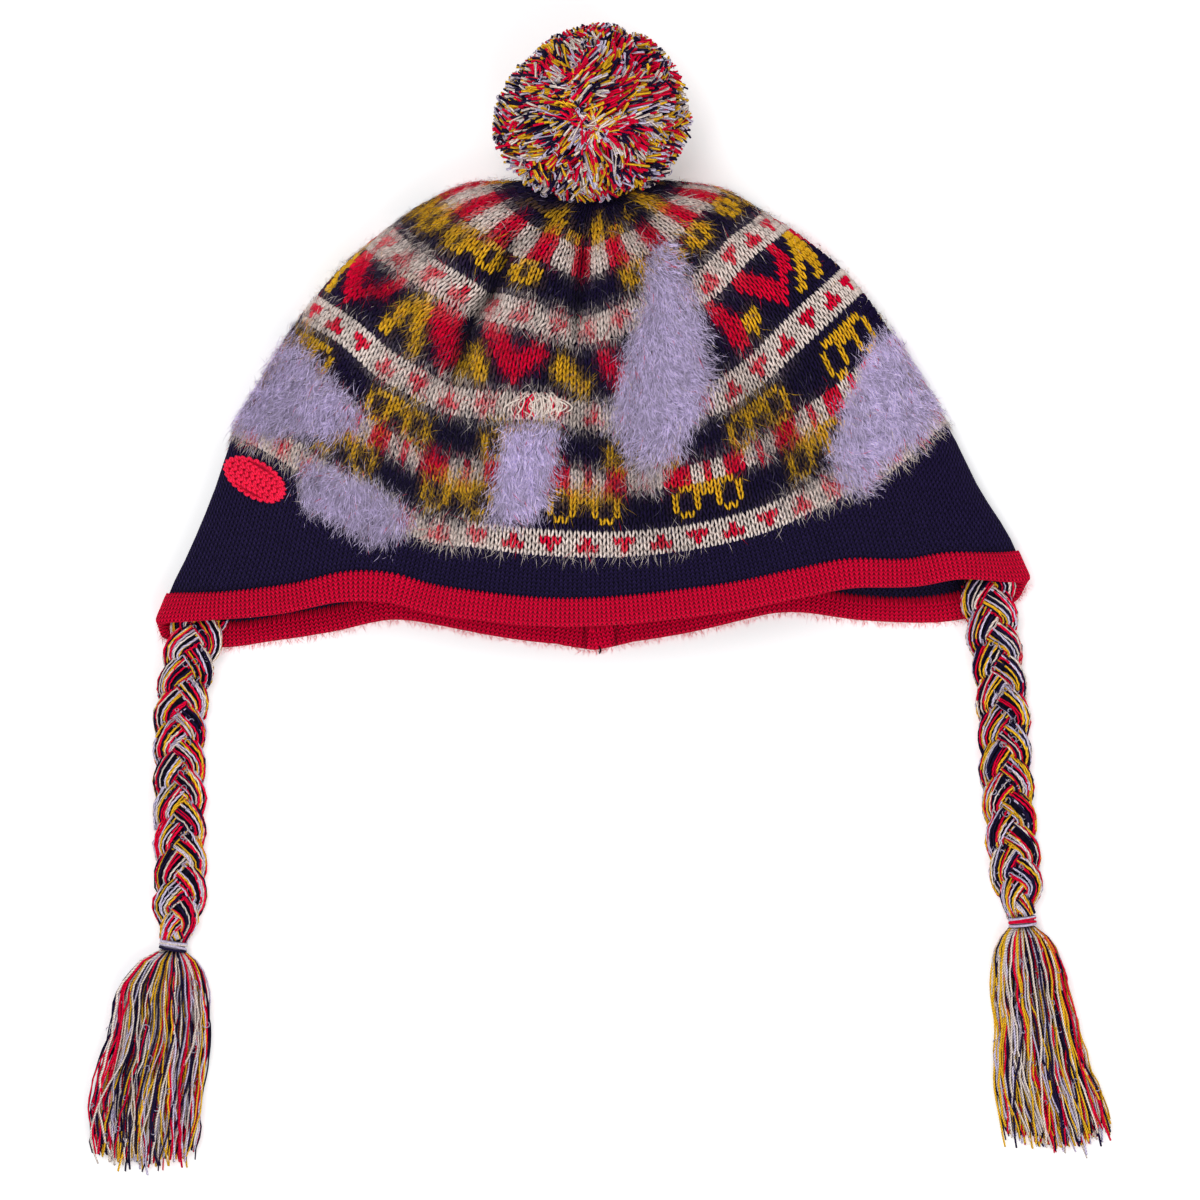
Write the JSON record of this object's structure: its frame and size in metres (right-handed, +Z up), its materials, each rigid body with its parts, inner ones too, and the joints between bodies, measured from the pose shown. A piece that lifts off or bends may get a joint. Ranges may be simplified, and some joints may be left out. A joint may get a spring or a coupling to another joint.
{
  "type": "fair isle knit cap with ear flaps",
  "caption": "Knitted fair isle cap with ear flaps, a yarn pompom and plaited ties ending in tassels.",
  "frame": {"origin": "on the ground under the middle of the cap without its ties", "axes": "+Z up from the ground on which the cap lies on its back, +Y from the open mouth to the pompom, +X to the right seen from above"},
  "size_m": [0.3744, 0.4231, 0.0703],
  "materials": {
    "fair_isle_knit": "stranded wool knit, navy ground with red, cream and gold, lightly brushed",
    "navy_rib": "fine ribbed wool knit",
    "red_border": "doubled ribbed wool knit",
    "lilac_pile": "long brushed mohair pile",
    "red_crochet": "crocheted cotton",
    "mixed_yarn": "cut yarn in navy, red, gold, cream and lilac",
    "plaited_yarn": "plaited yarn in five colours",
    "thread": "wound yarn"
  },
  "bodies": {
    "root": {"crown": "fair_isle_knit", "ear_band": "navy_rib", "border": "red_border", "pile_left": "lilac_pile", "pile_wedge": "lilac_pile", "pile_spot": "lilac_pile", "pile_right": "lilac_pile", "crochet_patch": "red_crochet", "pompom": "mixed_yarn", "braid_left": "plaited_yarn", "tie_left": "thread", "tassel_left": "mixed_yarn", "braid_right": "plaited_yarn", "tie_right": "thread", "tassel_right": "mixed_yarn"}
  },
  "joints": []
}
